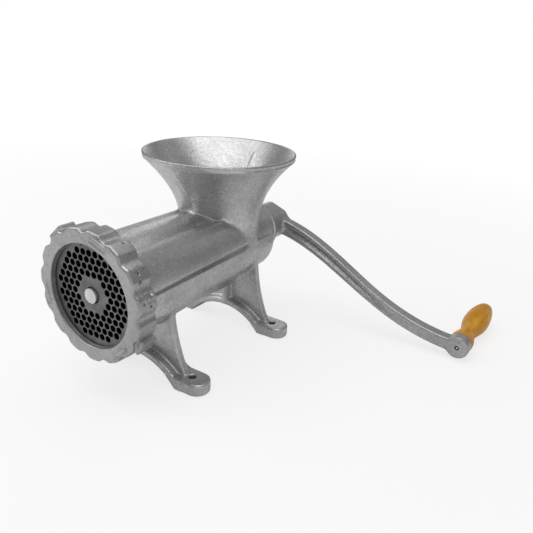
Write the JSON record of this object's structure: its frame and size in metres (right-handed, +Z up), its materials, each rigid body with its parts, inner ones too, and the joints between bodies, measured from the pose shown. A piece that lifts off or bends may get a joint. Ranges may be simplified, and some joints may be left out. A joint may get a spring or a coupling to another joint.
{
  "type": "hand crank meat grinder",
  "caption": "Bolt-down hand crank meat grinder with a bell hopper, feed screw, knife, perforated plate, scalloped ring nut and a curved crank with a wooden grip.",
  "frame": {"origin": "centre of the four foot bolt holes, in the plane of the feet's undersides", "axes": "+X toward the crank's grip side across the feet, +Y along the barrel from the cutting plate to the crank, +Z up"},
  "size_m": [0.3339, 0.3874, 0.1983],
  "materials": {
    "casting": "satin tinned cast iron with a fine sand grain",
    "dark_steel": "ground dark tool steel",
    "steel": "machined steel",
    "bright_steel": "bright turned steel",
    "bronze": "plain bearing bronze",
    "wood": "clear varnished turned wood"
  },
  "bodies": {
    "body": {"body_casting": "casting", "bearing_bushing": "bronze", "thrust_washer": "steel", "plate_key": "steel", "cutting_plate": "dark_steel"},
    "drive": {"feed_screw": "casting", "screw_stud": "bright_steel", "cutting_knife": "steel", "crank_arm": "casting", "crank_washer": "steel", "grip_spindle": "bright_steel", "grip_washer": "steel"},
    "grip": {"wooden_grip": "wood"},
    "ring": {"ring_nut": "casting"},
    "wing_screw": {"crank_wing_screw": "casting"}
  },
  "joints": [
    {"name": "crank_spin", "type": "hinge", "parent": "body", "child": "drive", "pos_m": [0, 0.1, 0.1], "axis": [0, 1, 0], "continuous": true},
    {"name": "grip_spin", "type": "hinge", "parent": "drive", "child": "grip", "pos_m": [0.24282, 0.2, 0.01401], "axis": [0, 1, 0], "continuous": true},
    {"name": "ring_turn", "type": "hinge", "parent": "body", "child": "ring", "pos_m": [0, -0.125, 0.1], "axis": [0, -1, 0], "range_deg": [0, 1080]},
    {"name": "wing_screw_turn", "type": "hinge", "parent": "drive", "child": "wing_screw", "pos_m": [0, 0.15, 0.1], "axis": [0, -1, 0], "range_deg": [0, 1080]}
  ]
}
